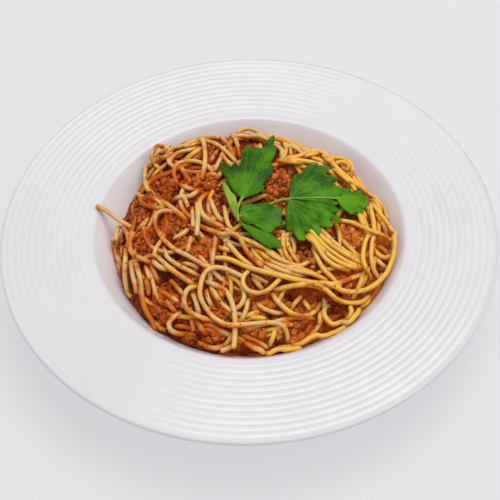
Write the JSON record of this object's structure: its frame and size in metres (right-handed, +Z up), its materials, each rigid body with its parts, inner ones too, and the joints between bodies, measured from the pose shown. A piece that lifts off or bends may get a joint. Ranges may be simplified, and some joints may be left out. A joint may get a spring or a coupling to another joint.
{
  "type": "plate of pasta bolognese",
  "caption": "Wide-rimmed white plate with a ribbed rim and a deep well, filled by a heap of spaghetti in minced meat sauce, with parsley leaves on top.",
  "frame": {"origin": "on the table, under the centre of the plate", "axes": "+Z up, +X to the diner's right, -Y towards the diner"},
  "size_m": [0.3, 0.3, 0.0527],
  "materials": {
    "porcelain": "gloss",
    "pasta_and_sauce": "moist cooked pasta in meat sauce",
    "parsley_leaf": "fresh leaf, satin"
  },
  "bodies": {
    "root": {"plate": "porcelain", "spaghetti_heap": "pasta_and_sauce", "parsley_left": "parsley_leaf", "parsley_right": "parsley_leaf"}
  },
  "joints": []
}
